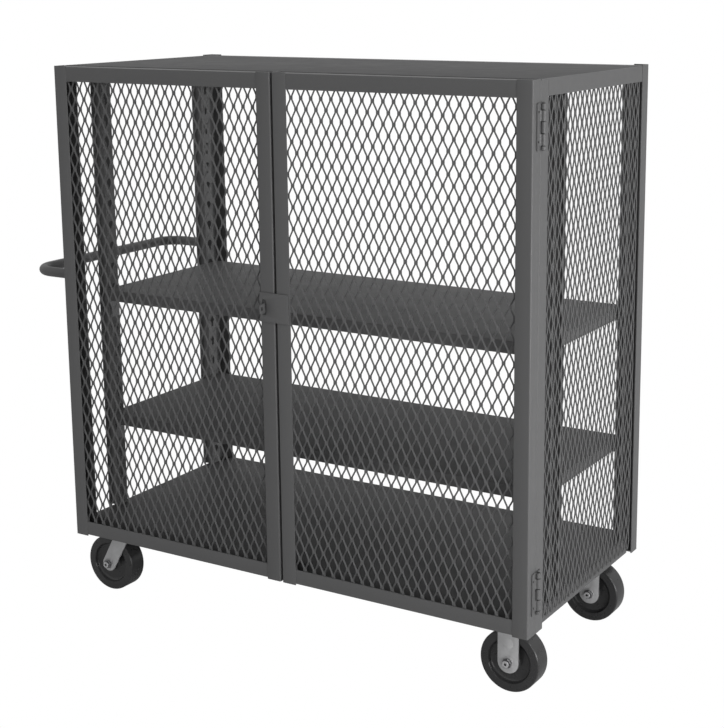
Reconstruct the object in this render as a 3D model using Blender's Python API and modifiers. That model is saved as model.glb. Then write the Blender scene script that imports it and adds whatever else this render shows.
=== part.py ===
"""Lockable mesh-fronted shelf trolley on four casters: angle-iron body, expanded
metal in the doors and the end away from the handle, two hinged doors with a padlock hasp, two adjustable shelves on
slotted standards, a tubular push handle, two swivel and two rigid casters.

Dimensions are in millimetres here and turned into metres when meshes are made.
Body coordinates: X along the front from the handle end, Y from the door faces to
the back, Z up from the lowest edge of the corner posts. The whole part is then
moved so that its origin is at the bottom centre of its bounding box.
"""
import math

import bmesh
import bpy
from mathutils import Matrix, Vector

# ---- driving dimensions (mm) -------------------------------------------------
W = 1360.0          # body length along the front
D = 650.0           # body depth, door faces to back face
H = 1260.0          # body height, post bottom to roof
T = 3.0             # angle iron thickness
LEG = 38.0          # angle leg of side and back frames
DOOR_LEG = 39.5     # face width of the door stiles
DOOR_D = 38.0       # depth of the doors
RAIL = 36.0         # visible height of the rails
STEP = 3.0          # how far door and back rails stop short of the stile ends
GAP = 0.3           # gap between touching pieces
SEAM = DOOR_D + GAP  # front of the side frames
BACK = 612.0        # front of the back frame, whose stiles are the rear corner posts
RAIL_END = BACK - 3.0              # rear ends of the side rails
MESH_LOW = 14.0     # lower edge of the right end's expanded metal, outside the deck's flange
MEET = 680.0        # middle of the gap between the doors
MEET_GAP = 6.0
SHEET = 1.2         # plain sheet that weighs what the expanded metal does
DECK_Z = 41.0       # top of the deck
SHELF_DZ = 30.0     # shelf lip height
SHELF_T = 2.0
SHELF_Y = (114.0, 606.0)
SHELF_X = (34.4, W - 34.4)
LOWER_Z, UPPER_Z = 317.0, 659.9   # shelf tops, six keyhole pitches apart
PITCH = 57.15       # keyhole pitch of the standards
KEY_TOP = 1183.0    # top of the highest keyhole
KEYS = 20
STD_Y = (157.5, 578.5)            # standard centres, front and rear
STD_WEB, STD_WING, STD_D, STD_T = 38.0, 11.5, 25.2, 1.6
PIN_OUT = 6.5       # hinge pin centre outside the side face
KNUCKLE_R, PIN_R = 6.0, 3.0
HINGE_H = 101.6
HINGE_C = (101.0, H - 101.0)
KNUCKLES = (10.0, 26.3, 25.9, 25.0, 14.4)   # bottom to top
GRIP_OUT, GRIP_R, BEND_R = 165.0, 13.35, 60.0
GRIP_Z, GRIP_Y = 704.0, (62.0, 631.0)
WHEEL_R, WHEEL_W = 76.2, 50.8
AXLE_Z = -97.0
PLATE_TOP = 17.0
PLATE = (114.3, 101.6, 6.0)
CASTER_Y = (92.5, 557.5)
SWIVEL_X, TRAIL, RIGID_X = 90.0, 35.0, 1280.0
FORK_IN, FORK_T, FORK_W = 27.0, 5.0, 54.0
AXLE_R = 6.35
TAB = ((649.0, 652.0), (-23.3, -GAP), (681.0, 709.0))
HASP = ((636.0, 720.0), (-3.3, -0.3), (661.0, 733.6))
SLOT = ((642.5, 655.0), (677.5, 716.6))

X_MIN, X_MAX = -(GRIP_OUT + GRIP_R), W + PIN_OUT + KNUCKLE_R
Y_MIN, Y_MAX = TAB[1][0], D
ORIGIN = Vector(((X_MIN + X_MAX) / 2, (Y_MIN + Y_MAX) / 2, AXLE_Z - WHEEL_R))

for o in list(bpy.data.objects):
    bpy.data.objects.remove(o, do_unlink=True)

parts = bpy.data.collections.new("mesh_shelf_trolley")
cutters = bpy.data.collections.new("construction_shapes")
for c in (parts, cutters):
    bpy.context.scene.collection.children.link(c)


def world(x, y, z):
    return (Vector((x, y, z)) - ORIGIN) * 0.001


def material(name, colour, roughness, metallic):
    m = bpy.data.materials.new(name)
    m.use_nodes = True
    b = m.node_tree.nodes["Principled BSDF"]
    b.inputs["Base Color"].default_value = (*colour, 1.0)
    b.inputs["Roughness"].default_value = roughness
    b.inputs["Metallic"].default_value = metallic
    return m


LOOKS = {
    "paint": ((0.082, 0.083, 0.085), 0.55, 0.0),
    "zinc": ((0.35, 0.35, 0.36), 0.40, 0.9),
    "wheel": ((0.030, 0.030, 0.032), 0.60, 0.0),
    "bronze": ((0.42, 0.30, 0.15), 0.40, 0.9),
}


# ---- mesh helpers ------------------------------------------------------------
def new_object(name, mesh, home):
    o = bpy.data.objects.new(name, mesh)
    home.objects.link(o)
    return o


def from_bmesh(name, bm, home):
    bmesh.ops.recalc_face_normals(bm, faces=bm.faces[:])
    if bm.calc_volume(signed=True) < 0:
        bmesh.ops.reverse_faces(bm, faces=bm.faces[:])
    me = bpy.data.meshes.new(name)
    bm.to_mesh(me)
    bm.free()
    return new_object(name, me, home)


def box(name, xs, ys, zs, home=None):
    """A box between two opposite corners, given as ranges in body millimetres."""
    bm = bmesh.new()
    bmesh.ops.create_cube(bm, size=1.0)
    lo, hi = world(xs[0], ys[0], zs[0]), world(xs[1], ys[1], zs[1])
    for v in bm.verts:
        v.co = Vector(lo[i] if v.co[i] < 0 else hi[i] for i in range(3))
    return from_bmesh(name, bm, home or cutters)


def rod(name, axis, centre, r, span, sides=24, home=None, turn=0.0):
    """A cylinder along axis X, Y or Z through centre, between the two positions in span."""
    bm = bmesh.new()
    bmesh.ops.create_cone(
        bm, cap_ends=True, segments=sides, radius1=r * 0.001, radius2=r * 0.001,
        depth=(span[1] - span[0]) * 0.001,
    )
    bmesh.ops.rotate(bm, verts=bm.verts, matrix=Matrix.Rotation(turn, 3, "Z"))
    tilt = {"X": Matrix.Rotation(math.pi / 2, 3, "Y"), "Y": Matrix.Rotation(math.pi / 2, 3, "X"),
            "Z": Matrix.Identity(3)}[axis]
    bmesh.ops.rotate(bm, verts=bm.verts, matrix=tilt)
    at = list(centre)
    at["XYZ".index(axis)] = (span[0] + span[1]) / 2
    bmesh.ops.translate(bm, verts=bm.verts, vec=world(*at))
    return from_bmesh(name, bm, home or cutters)


def outline(name, loops, axis, span, home=None):
    """A flat outline, with holes if it has more than one loop, drawn as a 2D curve and
    extruded along axis X (loops in Y, Z), Y (loops in X, Z) or Z (loops in X, Y)."""
    cu = bpy.data.curves.new(name, "CURVE")
    cu.dimensions = "2D"
    cu.fill_mode = "BOTH"
    half = (span[1] - span[0]) * 0.0005
    cu.extrude = half
    for loop in loops:
        s = cu.splines.new("POLY")
        s.points.add(len(loop) - 1)
        for p, (a, b) in zip(s.points, loop):
            p.co = (a * 0.001, b * 0.001, 0.0, 1.0)
        s.use_cyclic_u = True
    tmp = bpy.data.objects.new(name + "_curve", cu)
    cutters.objects.link(tmp)
    bpy.context.view_layer.update()
    dg = bpy.context.evaluated_depsgraph_get()
    me = bpy.data.meshes.new_from_object(tmp.evaluated_get(dg), depsgraph=dg)
    bpy.data.objects.remove(tmp, do_unlink=True)
    bm = bmesh.new()
    bm.from_mesh(me)
    bmesh.ops.remove_doubles(bm, verts=bm.verts, dist=0.00001)
    # curve plane (u, v) and thickness w to body axes
    mid = (span[0] + span[1]) * 0.0005
    for v in bm.verts:
        u, w, t = v.co.x, v.co.y, v.co.z
        v.co = {"X": Vector((mid + t, u, w)), "Y": Vector((u, mid + t, w)),
                "Z": Vector((u, w, mid + t))}[axis] - ORIGIN * 0.001
    return from_bmesh(name, bm, home or cutters)


def as_tool(o):
    o.hide_render = True
    o.display_type = "WIRE"
    return o


def boolean(o, operation, others):
    for other in others:
        as_tool(other)
        m = o.modifiers.new(operation.lower(), "BOOLEAN")
        m.operation = operation
        m.object = other
        m.solver = "EXACT"
    return o


def cut(o, *others):
    return boolean(o, "DIFFERENCE", others)


def weld(o, *others):
    return boolean(o, "UNION", others)


pivots = {}


def pivot(name, at, parent=None):
    e = bpy.data.objects.new(name, None)
    e.empty_display_size = 0.05
    parts.objects.link(e)
    p = world(*at)
    if parent:
        e.parent = pivots[parent][0]
        e.location = p - pivots[parent][1]
    else:
        e.location = p
    pivots[name] = (e, p)
    return e


def node(o, name, look, on=None, smooth=False):
    """Makes the shape a named piece with its own material, carried by a pivot if it moves."""
    o.name = name
    o.data.name = name
    if o.name not in parts.objects:
        for c in list(o.users_collection):
            c.objects.unlink(o)
        parts.objects.link(o)
    o.data.materials.clear()
    o.data.materials.append(material(name, *LOOKS[look]))
    if smooth:
        o.data.shade_smooth()
        o.data.set_sharp_from_angle(angle=math.radians(35))
    if on:
        e, p = pivots[on]
        o.data.transform(Matrix.Translation(-p))
        o.parent = e
    return o


def turned(name, profile, centre, sides, axis="Y"):
    """A closed turned solid. profile is (radius, position along the axis), starting at the
    bore or centre, and it is spun round the axis with a Screw modifier."""
    me = bpy.data.meshes.new(name)
    bm = bmesh.new()
    vs = [bm.verts.new((r * 0.001, 0.0, a * 0.001)) for r, a in profile]
    loop = vs + [vs[0]]
    for a, b in zip(loop, loop[1:]):
        bm.edges.new((a, b))
    bm.to_mesh(me)
    bm.free()
    o = new_object(name, me, cutters)
    s = o.modifiers.new("spin", "SCREW")
    s.axis = "Z"
    s.angle = math.tau
    s.steps = s.render_steps = sides
    s.use_merge_vertices = True
    s.merge_threshold = 0.00001
    s.use_normal_calculate = True
    bpy.context.view_layer.update()
    dg = bpy.context.evaluated_depsgraph_get()
    made = bpy.data.meshes.new_from_object(o.evaluated_get(dg), depsgraph=dg)
    bpy.data.objects.remove(o, do_unlink=True)
    bm = bmesh.new()
    bm.from_mesh(made)
    bmesh.ops.remove_doubles(bm, verts=bm.verts, dist=0.00001)
    if axis == "Y":
        bmesh.ops.rotate(bm, verts=bm.verts, matrix=Matrix.Rotation(math.pi / 2, 3, "X"))
        # put a vertex at the lowest point
        bmesh.ops.rotate(bm, verts=bm.verts, matrix=Matrix.Rotation(math.pi / 2, 3, "Y"))
    bmesh.ops.translate(bm, verts=bm.verts, vec=world(*centre))
    return from_bmesh(name, bm, cutters)


def ring(cy, cz, r, n, start=0.0):
    return [(cy + r * math.cos(start + math.tau * i / n), cz + r * math.sin(start + math.tau * i / n))
            for i in range(n)]


# ---- pivots of everything that moves ------------------------------------------
AXIS_Y = DOOR_D + GAP / 2
pivot("left_door_pivot", (-PIN_OUT, AXIS_Y, H / 2))
pivot("right_door_pivot", (W + PIN_OUT, AXIS_Y, H / 2))
pivot("upper_shelf_lift", (W / 2, sum(SHELF_Y) / 2, UPPER_Z))
pivot("lower_shelf_lift", (W / 2, sum(SHELF_Y) / 2, LOWER_Z))
for where, y in zip(("front", "rear"), CASTER_Y):
    pivot(f"{where}_left_swivel", (SWIVEL_X, y, 0.0))
    pivot(f"{where}_left_axle", (SWIVEL_X - TRAIL, y, AXLE_Z), f"{where}_left_swivel")
    pivot(f"{where}_right_axle", (RIGID_X, y, AXLE_Z))


# ---- framed panels ---------------------------------------------------------------
def door(side, x0, x1):
    """A welded frame of angle: stiles full height, rails between them a little short of the
    stile ends and set back, flanges to the rear, expanded metal behind the front legs."""
    f = box(f"{side}_door_frame", (x0, x1), (0, DOOR_D), (0, H))
    cut(
        f,
        box("cavity", (x0 + T, x1 - T), (T + 1, DOOR_D + 5), (STEP + T, H - STEP - T)),
        box("window", (x0 + DOOR_LEG, x1 - DOOR_LEG), (-5, 10), (STEP + RAIL + 1, H - STEP - RAIL)),
        box("top_step", (x0 + DOOR_LEG, x1 - DOOR_LEG), (-5, DOOR_D + 5), (H - STEP, H + 5)),
        box("low_step", (x0 + DOOR_LEG, x1 - DOOR_LEG), (-5, DOOR_D + 5), (-5, STEP)),
        box("rail_back", (x0 + DOOR_LEG, x1 - DOOR_LEG), (-5, 1), (-5, H + 5)),
    )
    on = f"{side}_door_pivot"
    node(f, f"{side}_door_frame", "paint", on)
    m = box("m", (x0 + T + GAP, x1 - T - GAP), (T + 1 + GAP, T + 1 + GAP + SHEET),
            (STEP + T + GAP, H - STEP - T - GAP))
    node(m, f"{side}_door_mesh", "paint", on)


door("left", 0.0, MEET - MEET_GAP / 2)
door("right", MEET + MEET_GAP / 2, W)


def side_frame(side, flip):
    def sx(a, b):
        return (W - b, W - a) if flip else (a, b)

    f = box("f", sx(0, LEG), (SEAM, RAIL_END), (0, H - T - GAP))
    top = H - T - GAP
    cut(
        f,
        box("cavity", sx(T, LEG + 5), (SEAM + T, RAIL_END + 5), (-5, top - T)),
        box("window", sx(-5, T + 5), (SEAM + LEG, RAIL_END + 5), (-5, H - LEG)),
    )
    node(f, f"{side}_side_frame", "paint")
    if side == "right":          # the handle end and the back are open frames
        m = box("m", sx(T + GAP, T + GAP + SHEET), (SEAM + T + GAP, RAIL_END),
                (MESH_LOW, top - T - GAP))
        node(m, f"{side}_side_mesh", "paint")


side_frame("left", False)
side_frame("right", True)

back = box("b", (0, W), (BACK + GAP, D), (0, H + 2.5))
cut(
    back,
    box("cavity", (T, W - T), (BACK - 5, D - T), (STEP + T, H - T)),
    box("window", (LEG, W - LEG), (D - 10, D + 5), (STEP + RAIL, H - RAIL)),
    box("top_step", (LEG, W - LEG), (BACK - 5, D + 5), (H, H + 8)),
    box("low_step", (LEG, W - LEG), (BACK - 5, D + 5), (-5, STEP)),
)
node(back, "back_frame", "paint")

node(box("r", (0, W), (SEAM, BACK), (H - T, H)), "roof_sheet", "paint")

# ---- deck and caster channels ------------------------------------------------------
DECK_X = (10.6, W - 10.6)
DECK_Y = (45.0, 608.0)
deck = box("d", DECK_X, DECK_Y, (2.0, DECK_Z))
# the end flanges close the ends below the mesh, the long flanges stop above the caster plates
cut(deck, box("under", (DECK_X[0] + 2.7, DECK_X[1] - 2.7), (DECK_Y[0] + 2.7, DECK_Y[1] - 2.7),
              (-5.0, DECK_Z - 2.7)),
    box("over_plates", (DECK_X[0] + 2.7, DECK_X[1] - 2.7), (DECK_Y[0] - 5, DECK_Y[1] + 5),
        (-5.0, PLATE_TOP + 2 * GAP)))
node(deck, "deck_pan", "paint")

for side, x in (("left", SWIVEL_X), ("right", RIGID_X)):
    xs = (x - PLATE[0] / 2, x + PLATE[0] / 2)
    ch = box("c", xs, (48.5, 604.5), (PLATE_TOP + GAP, DECK_Z - 2.7 - GAP))
    cut(ch, box("trough", (xs[0] + T, xs[1] - T), (40, 620), (PLATE_TOP + GAP + T, DECK_Z + 5)))
    node(ch, f"{side}_caster_channel", "paint")

# ---- slotted standards, shelves, clips -----------------------------------------------
STD_Z = (DECK_Z + 1.5, 1250.0)


def keyhole(y, top):
    head = [(y + 9.0 * math.sin(a), top - 9.0 + 9.0 * math.cos(a))
            for a in (math.radians(d) for d in (-90, -30, 30, 90))]
    return head + [(y + 3.3, top - 17.5), (y + 3.3, top - 30.0), (y - 3.3, top - 30.0),
                   (y - 3.3, top - 17.5)]


for side in ("left", "right"):
    for where, y in zip(("front", "rear"), STD_Y):
        def sx(a, b, side=side):
            return (W - b, W - a) if side == "right" else (a, b)

        x0 = T + 2 * GAP + SHEET
        a, b = y - STD_WEB / 2, y + STD_WEB / 2
        hat = [(a - STD_WING, x0), (a - STD_WING, x0 + STD_T), (a, x0 + STD_T),
               (a, x0 + STD_D), (b, x0 + STD_D), (b, x0 + STD_T), (b + STD_WING, x0 + STD_T),
               (b + STD_WING, x0), (b - STD_T, x0), (b - STD_T, x0 + STD_D - STD_T),
               (a + STD_T, x0 + STD_D - STD_T), (a + STD_T, x0)]
        loop = [((W - q) if side == "right" else q, p) for p, q in hat]
        s = outline("hat", [loop], "Z", STD_Z)
        keys = [outline(f"key{k}", [keyhole(y, KEY_TOP - PITCH * k)], "X",
                        sx(x0 + STD_D - 6, x0 + STD_D + 4)) for k in range(KEYS)]
        cut(s, *keys)
        node(s, f"{where}_{side}_standard", "paint")

for name, z, k in (("upper", UPPER_Z, 10), ("lower", LOWER_Z, 16)):
    sh = box("s", SHELF_X, SHELF_Y, (z - SHELF_DZ, z))
    cut(sh, box("under", (SHELF_X[0] + SHELF_T, SHELF_X[1] - SHELF_T),
                (SHELF_Y[0] + SHELF_T, SHELF_Y[1] - SHELF_T), (z - SHELF_DZ - 5, z - SHELF_T)))
    node(sh, f"{name}_shelf", "paint", f"{name}_shelf_lift")
    ledge = z - SHELF_DZ - GAP
    foot = KEY_TOP - PITCH * k - 30.0 + 0.4      # the stud rests at the bottom of this keyhole
    for side in ("left", "right"):
        def sx(a, b, side=side):
            return (W - b, W - a) if side == "right" else (a, b)

        web = T + 2 * GAP + SHEET + STD_D
        for where, y in zip(("front", "rear"), STD_Y):
            c = box("clip", sx(web + GAP, web + GAP + 2.5), (y - 15, y + 15), (foot - 4, ledge))
            weld(
                c,
                box("ledge", sx(web + GAP + 1, web + 22), (y - 15, y + 15), (ledge - 2.5, ledge)),
                box("stud", sx(web - 6, web + GAP + 1), (y - 2.6, y + 2.6), (foot, foot + 8)),
                box("hook", sx(web - 7.5, web - STD_T - 1.0), (y - 6, y + 6), (foot - 4, foot + 12)),
            )
            node(c, f"{name}_clip_{where}_{side}", "zinc")

# ---- hinges ----------------------------------------------------------------------------
for side in ("left", "right"):
    face, out = (W, 1) if side == "right" else (0.0, -1)

    def ox(a, b, face=face, out=out):
        return tuple(sorted((face + out * a, face + out * b)))

    px = face + out * PIN_OUT
    for place, zc in zip(("bottom", "top"), HINGE_C):
        z0 = zc - HINGE_H / 2
        edges = [z0 + sum(KNUCKLES[:i]) for i in range(6)]
        pre = f"{side}_{place}_hinge"
        dl = box("leaf", ox(GAP, GAP + 2.5), (16.6, AXIS_Y - KNUCKLE_R - GAP), (z0, z0 + HINGE_H))
        pl = box("leaf", ox(GAP, GAP + 2.5), (AXIS_Y + KNUCKLE_R + GAP, 60.5), (z0, z0 + HINGE_H))
        for i in range(5):
            lo, hi = edges[i] + 0.15, edges[i + 1] - 0.15
            if i == 0:
                lo = z0
            if i == 4:
                hi = z0 + HINGE_H
            turn = math.pi / 16
            k = rod("knuckle", "Z", (px, AXIS_Y, 0), KNUCKLE_R, (lo, hi), 16, turn=turn)
            if i % 2:      # door leaf knuckles
                t = box("web", ox(GAP + 0.3, GAP + 2.5), (AXIS_Y - KNUCKLE_R - 2, AXIS_Y), (lo, hi))
                weld(dl, t, k)
            else:
                t = box("web", ox(GAP + 0.3, GAP + 2.5), (AXIS_Y, AXIS_Y + KNUCKLE_R + 2), (lo, hi))
                weld(pl, t, k)
        cut(dl, rod("bore", "Z", (px, AXIS_Y, 0), PIN_R + GAP, (z0 - 5, z0 + HINGE_H + 5), 16,
                    turn=math.pi / 16))
        weld(pl, rod("pin", "Z", (px, AXIS_Y, 0), PIN_R, (z0 + 2, z0 + HINGE_H - 2), 16,
                     turn=math.pi / 16))
        node(dl, f"{pre}_door_leaf", "paint", f"{side}_door_pivot")
        node(pl, f"{pre}_post_leaf", "paint")

# ---- hasp ------------------------------------------------------------------------------
hasp = box("h", *HASP)
cut(hasp, box("slot", SLOT[0], (-10, 5), SLOT[1]))
node(hasp, "hasp_plate", "paint", "right_door_pivot")
ty, tz = TAB[1], TAB[2]
tab_loop = [(ty[1], tz[0]), (ty[1], tz[1]), (ty[0] + 6, tz[1]), (ty[0] + 1.8, tz[1] - 1.8),
            (ty[0], tz[1] - 6), (ty[0], tz[0] + 6), (ty[0] + 1.8, tz[0] + 1.8), (ty[0] + 6, tz[0])]
PAD = (-14.5, (tz[0] + tz[1]) / 2)
tab = outline("t", [tab_loop, ring(PAD[0], PAD[1], 5.0, 16)], "X", TAB[0])
node(tab, "staple_tab", "paint", "left_door_pivot")

# ---- push handle -------------------------------------------------------------------------
cu = bpy.data.curves.new("push_handle", "CURVE")
cu.dimensions = "3D"
cu.bevel_depth = GRIP_R * 0.001
cu.bevel_resolution = 3
cu.use_fill_caps = True
y0, y1 = GRIP_Y
pts = [(-GAP, y0), (-(GRIP_OUT - BEND_R) * 0.5, y0)]
pts += [(-(GRIP_OUT - BEND_R) - BEND_R * math.sin(a), y0 + BEND_R - BEND_R * math.cos(a))
        for a in (math.radians(d) for d in range(0, 91, 15))]
pts += [(-GRIP_OUT, (y0 + y1) / 2)]
pts += [(-(GRIP_OUT - BEND_R) - BEND_R * math.cos(a), y1 - BEND_R + BEND_R * math.sin(a))
        for a in (math.radians(d) for d in range(0, 91, 15))]
pts += [(-(GRIP_OUT - BEND_R) * 0.5, y1), (-GAP, y1)]
sp = cu.splines.new("POLY")
sp.points.add(len(pts) - 1)
for p, (x, y) in zip(sp.points, pts):
    p.co = (*world(x, y, GRIP_Z), 1.0)
tube = bpy.data.objects.new("tube", cu)
cutters.objects.link(tube)
bpy.context.view_layer.update()
dg = bpy.context.evaluated_depsgraph_get()
me = bpy.data.meshes.new_from_object(tube.evaluated_get(dg), depsgraph=dg)
bpy.data.objects.remove(tube, do_unlink=True)
bm = bmesh.new()
bm.from_mesh(me)
bmesh.ops.remove_doubles(bm, verts=bm.verts, dist=0.00001)
node(from_bmesh("push_handle", bm, parts), "push_handle", "paint", smooth=True)


# ---- casters -----------------------------------------------------------------------------
def wheel_set(where, side, x, y, fork_body):
    pre = f"{where}_{side}"
    on = f"{pre}_axle"
    hw = WHEEL_W / 2
    half = [(10.3, hw - 1.0), (19.0, hw - 1.0), (22.0, hw - 11.0), (52.0, hw - 11.0),
            (56.0, hw), (70.5, hw), (WHEEL_R, hw - 6.0)]
    profile = half + [(r, -a) for r, a in reversed(half)]
    w = turned("wheel", profile, (x, y, AXLE_Z), 32)
    node(w, f"{pre}_wheel", "wheel", on, smooth=True)
    b = turned("bush", [(AXLE_R + GAP, 26.5), (10.0, 26.5), (10.0, -26.5), (AXLE_R + GAP, -26.5)],
               (x, y, AXLE_Z), 16)
    node(b, f"{pre}_bushing", "bronze", on, smooth=True)
    out = FORK_IN + FORK_T + GAP
    a = rod("axle", "Y", (x, 0, AXLE_Z), AXLE_R, (y - out - 13.0, y + out + 10.0), 16)
    weld(
        a,
        rod("head", "Y", (x, 0, AXLE_Z), 11.0, (y - out - 8.0, y - out), 6, turn=math.pi / 6),
        rod("nut", "Y", (x, 0, AXLE_Z), 11.0, (y + out, y + out + 8.5), 6, turn=math.pi / 6),
    )
    node(a, f"{pre}_axle_bolt", "zinc", fork_body)


def leg(name, loop, y, sign):
    ys = (y - FORK_IN - FORK_T, y - FORK_IN) if sign < 0 else (y + FORK_IN, y + FORK_IN + FORK_T)
    return outline(name, [loop], "Y", ys)


for where, y in zip(("front", "rear"), CASTER_Y):
    # rigid casters at the end away from the handle
    x = RIGID_X
    r = FORK_W / 2
    loop = [(x - r, PLATE_TOP - 1.5)] + [
        (x - r * math.cos(a), AXLE_Z - r * math.sin(a)) for a in
        (math.radians(d) for d in range(0, 181, 20))
    ] + [(x + r, PLATE_TOP - 1.5)]
    f = box("plate", (x - PLATE[0] / 2, x + PLATE[0] / 2), (y - PLATE[1] / 2, y + PLATE[1] / 2),
            (PLATE_TOP - PLATE[2], PLATE_TOP))
    weld(f, leg("leg", loop, y, -1), leg("leg", loop, y, 1))
    cut(f, rod("hole", "Y", (x, 0, AXLE_Z), AXLE_R + GAP, (y - 60, y + 60), 16))
    node(f, f"{where}_right_fork", "zinc")
    wheel_set(where, "right", x, y, None)

    # swivel casters at the handle end
    x = SWIVEL_X
    p = box("plate", (x - PLATE[0] / 2, x + PLATE[0] / 2), (y - PLATE[1] / 2, y + PLATE[1] / 2),
            (PLATE_TOP - PLATE[2], PLATE_TOP))
    weld(p, rod("kingpin", "Z", (x, y, 0), 8.0, (-1.0, PLATE_TOP - 1), 16))
    node(p, f"{where}_left_caster_plate", "zinc")
    crown_top = PLATE_TOP - PLATE[2] - GAP
    crown = rod("crown", "Z", (x, y, 0), 38.0, (4.0, crown_top), 24)
    bx, br = x - TRAIL, 21.0
    loop = [(x + 28, crown_top - 2.5), (x - 28, crown_top - 2.5)] + [
        (bx - br * math.cos(a), AXLE_Z - br * math.sin(a)) for a in
        (math.radians(d) for d in range(0, 161, 20))
    ]
    weld(
        crown,
        box("bridge", (x - 27.5, x + 27.5), (y - FORK_IN - FORK_T + 0.4, y + FORK_IN + FORK_T - 0.4),
            (4.0, crown_top - 3.5)),
        leg("leg", loop, y, -1),
        leg("leg", loop, y, 1),
    )
    cut(
        crown,
        rod("king_bore", "Z", (x, y, 0), 8.0 + GAP, (-10, 30), 16),
        rod("hole", "Y", (bx, 0, AXLE_Z), AXLE_R + GAP, (y - 60, y + 60), 16),
    )
    node(crown, f"{where}_left_fork", "zinc", f"{where}_left_swivel")
    wheel_set(where, "left", bx, y, f"{where}_left_swivel")
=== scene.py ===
"""Looks for the mesh shelf trolley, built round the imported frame.

Lengths are in millimetres in the part's own body coordinates (X from the handle end along the
front, Y from the door faces to the back, Z up from the bottom of the posts) and P() turns them
into metres in the shared frame.
"""
import math

import bmesh
import bpy
from mathutils import Matrix, Vector


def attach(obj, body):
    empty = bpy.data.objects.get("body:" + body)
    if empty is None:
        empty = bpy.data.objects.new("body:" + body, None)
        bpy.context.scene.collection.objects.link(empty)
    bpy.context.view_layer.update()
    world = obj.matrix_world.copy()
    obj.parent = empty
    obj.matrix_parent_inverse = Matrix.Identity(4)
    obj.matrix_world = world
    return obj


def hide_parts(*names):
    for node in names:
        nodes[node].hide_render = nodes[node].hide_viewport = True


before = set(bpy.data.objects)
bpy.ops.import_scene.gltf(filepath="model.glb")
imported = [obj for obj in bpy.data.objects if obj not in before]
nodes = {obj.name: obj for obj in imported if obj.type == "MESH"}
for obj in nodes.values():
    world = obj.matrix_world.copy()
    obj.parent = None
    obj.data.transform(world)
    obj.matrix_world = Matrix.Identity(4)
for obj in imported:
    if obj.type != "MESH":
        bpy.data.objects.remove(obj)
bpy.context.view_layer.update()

W, D, H = 1360.0, 650.0, 1260.0
T, GAP = 3.0, 0.3
SEAM, BACK = 38.3, 612.0
DECK_TOP = 41.0
ORIGIN = Vector((597.075, 313.35, -173.2))


def P(x, y, z):
    return (Vector((x, y, z)) - ORIGIN) * 0.001


# ---- camera, at the photograph's angle -------------------------------------------------
def place_camera():
    az, el, roll = (math.radians(d) for d in (30.7669, 11.0177, -0.3362))
    back = Vector((math.sin(az) * math.cos(el), -math.cos(az) * math.cos(el), math.sin(el)))
    right = Vector((math.cos(az), math.sin(az), 0.0))
    up = back.cross(right)
    r = right * math.cos(roll) + up * math.sin(roll)
    u = up * math.cos(roll) - right * math.sin(roll)
    data = bpy.data.cameras.new("camera")
    data.sensor_fit = "AUTO"
    data.sensor_width = 36.0
    data.lens = 1494.8 * 36.0 / 728.0
    data.shift_x, data.shift_y = -0.06, -0.12
    data.clip_start, data.clip_end = 0.05, 100.0
    cam = bpy.data.objects.new("camera", data)
    bpy.context.scene.collection.objects.link(cam)
    m = Matrix((r, u, back)).transposed().to_4x4()
    m.translation = P(2744.7, -2855.2, 1456.2)
    cam.matrix_world = m
    bpy.context.scene.camera = cam


place_camera()


# ---- materials ---------------------------------------------------------------------------
def shader(name):
    m = bpy.data.materials.new(name)
    m.use_nodes = True
    nt = m.node_tree
    return m, nt, nt.nodes["Principled BSDF"]


def noise(nt, coord, scale, detail=2.0, rough=0.5):
    n = nt.nodes.new("ShaderNodeTexNoise")
    n.inputs["Scale"].default_value = scale
    n.inputs["Detail"].default_value = detail
    n.inputs["Roughness"].default_value = rough
    nt.links.new(coord, n.inputs["Vector"])
    return n


def spread(nt, value, lo, hi, out_lo, out_hi):
    r = nt.nodes.new("ShaderNodeMapRange")
    r.inputs["From Min"].default_value = lo
    r.inputs["From Max"].default_value = hi
    r.inputs["To Min"].default_value = out_lo
    r.inputs["To Max"].default_value = out_hi
    nt.links.new(value, r.inputs["Value"])
    return r


def mix(nt, fac, a, b, kind="MIX"):
    n = nt.nodes.new("ShaderNodeMix")
    n.data_type = "RGBA"
    n.blend_type = kind
    if isinstance(fac, float):
        n.inputs["Factor"].default_value = fac
    else:
        nt.links.new(fac, n.inputs["Factor"])
    for socket, c in ((6, a), (7, b)):        # the colour sockets A and B
        if isinstance(c, tuple):
            n.inputs[socket].default_value = (*c, 1.0)
        else:
            nt.links.new(c, n.inputs[socket])
    return n.outputs[2]


def tint(c, k):
    return tuple(v * k for v in c)


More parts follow.
